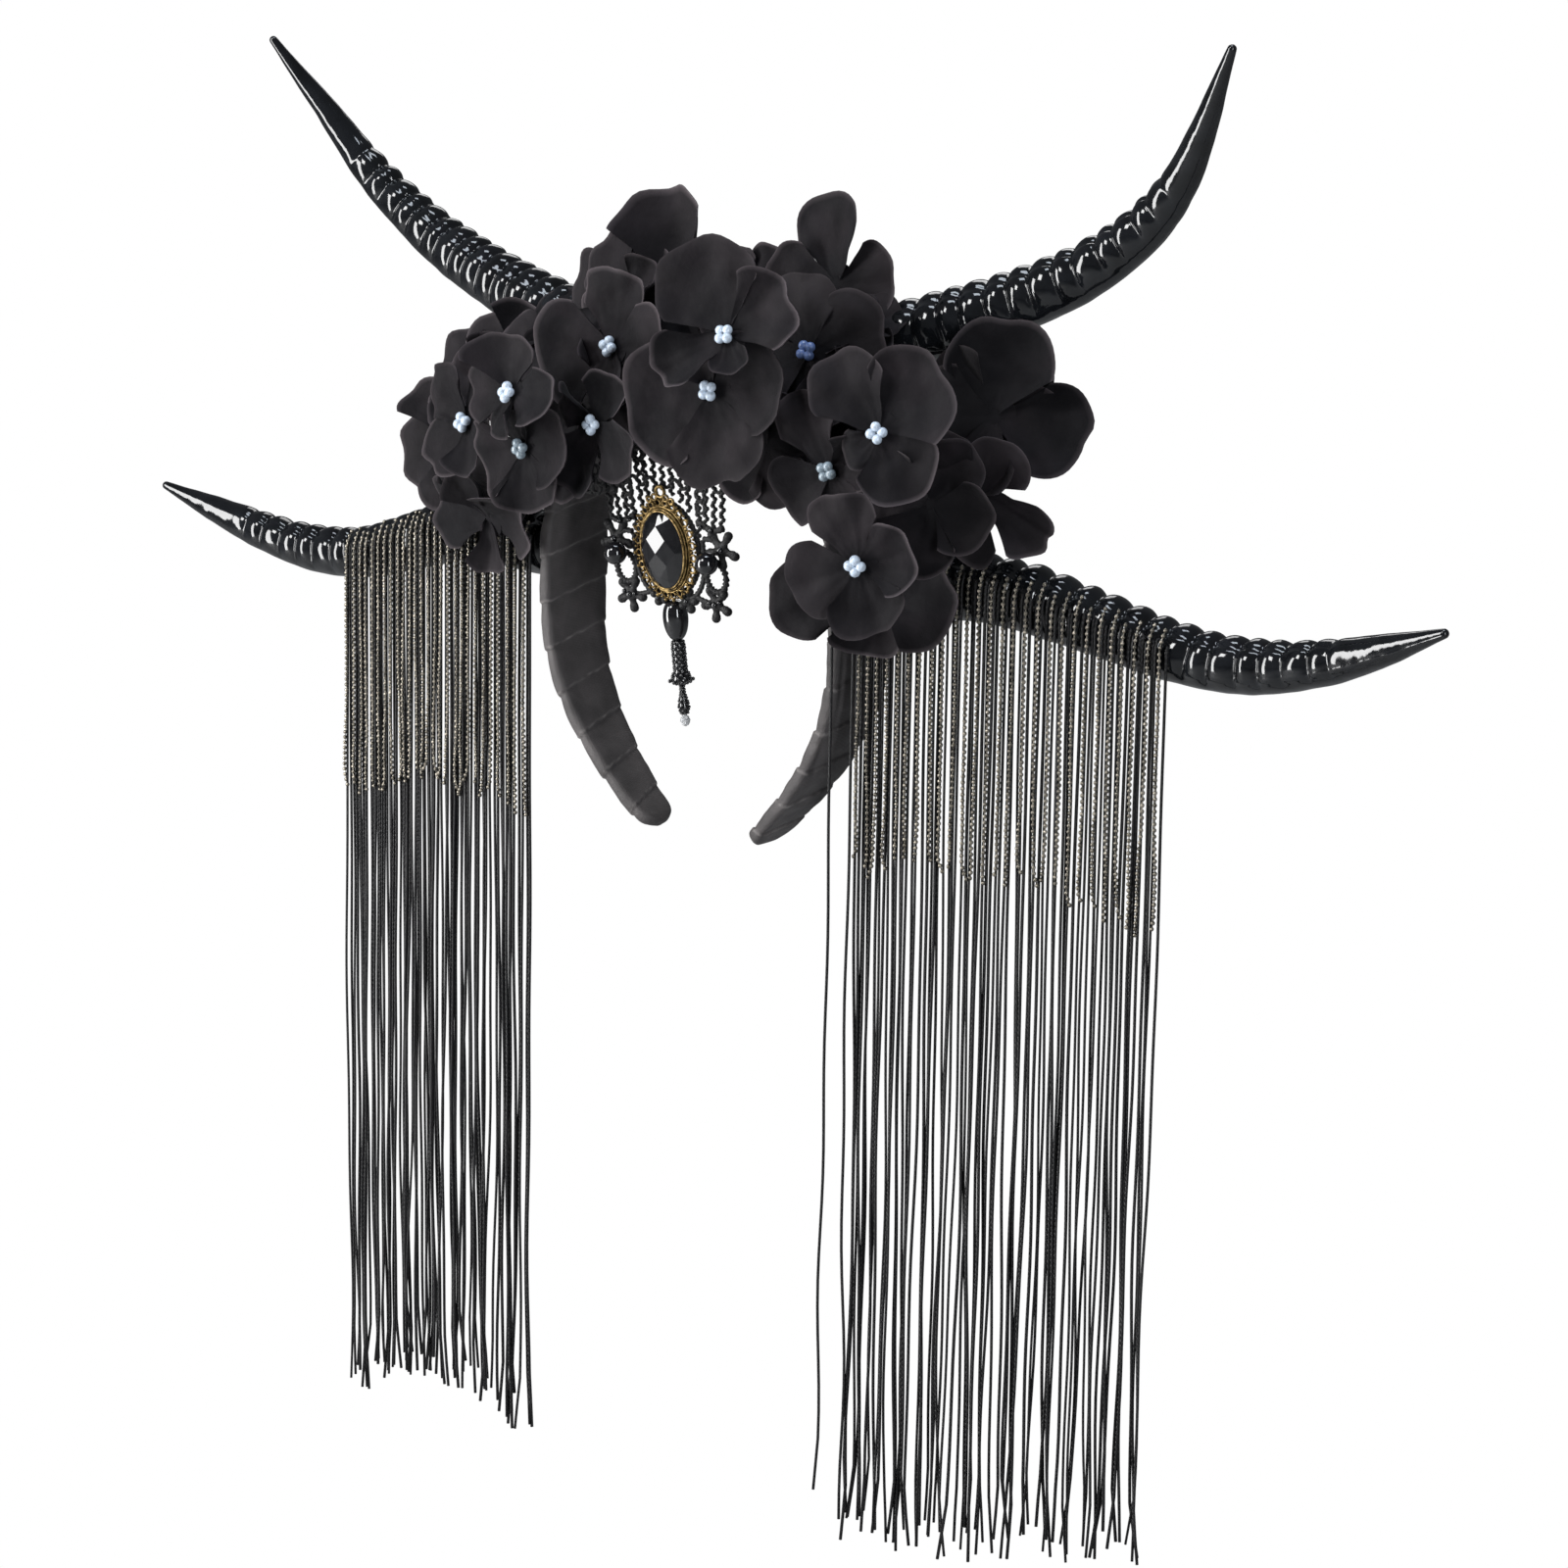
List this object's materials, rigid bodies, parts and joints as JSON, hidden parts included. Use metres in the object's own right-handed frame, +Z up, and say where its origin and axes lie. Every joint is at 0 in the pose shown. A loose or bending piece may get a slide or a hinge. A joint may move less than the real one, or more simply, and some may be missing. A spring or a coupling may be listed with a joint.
{
  "type": "antelope horn headband",
  "caption": "Costume headband: a ribbon-wrapped arch with ribbed horns, a bed of dark cloth flowers, chain and thread fringes, and a medallion on lace over the forehead.",
  "frame": {"origin": "inner top centre of the headband, where it sits on the head", "axes": "+X sideways across the horns, -Y the wearer's front, +Z up"},
  "size_m": [0.5728, 0.1164, 0.5163],
  "materials": {
    "ribbon": "matte black satin ribbon over a stiff band",
    "horn": "glossy black resin",
    "thread": "black glossy threads",
    "chain": "dark blackened metal ball chain",
    "lace": "black corded lace",
    "setting": "aged brass filigree",
    "stone": "black cut glass",
    "bead": "black polished glass",
    "crystal": "clear cut crystal",
    "petal": "matte charcoal black cloth"
  },
  "bodies": {
    "root": {"headband": "ribbon", "horn_upper_left": "horn", "horn_upper_right": "horn", "horn_lower_left": "horn", "horn_lower_right": "horn", "thread_fringe_left": "thread", "thread_fringe_right": "thread", "chain_fringe_left": "chain", "chain_fringe_right": "chain", "lace": "lace", "setting": "setting", "stone": "stone", "bead_left": "bead", "bead_right": "bead", "drop_bead": "bead", "drop_column": "lace", "drop_tip": "lace", "drop_crystal": "crystal", "flower_top_left": "petal", "flower_back_left": "petal", "flower_top_right": "petal", "flower_far_left": "petal", "flower_far_right": "petal", "flower_outer_right": "petal", "flower_low_left": "petal", "flower_low_right": "petal", "flower_inner_right": "petal", "flower_upper_left": "petal", "flower_side_left": "petal", "flower_front_left": "petal", "flower_inner_left": "petal", "flower_mid_left": "petal", "flower_lower_right": "petal", "flower_front_right": "petal", "flower_front_centre": "petal", "flower_upper_centre": "petal", "flower_lowest_right": "petal", "flower_rear_left": "petal", "flower_rear_right": "petal"}
  },
  "joints": []
}
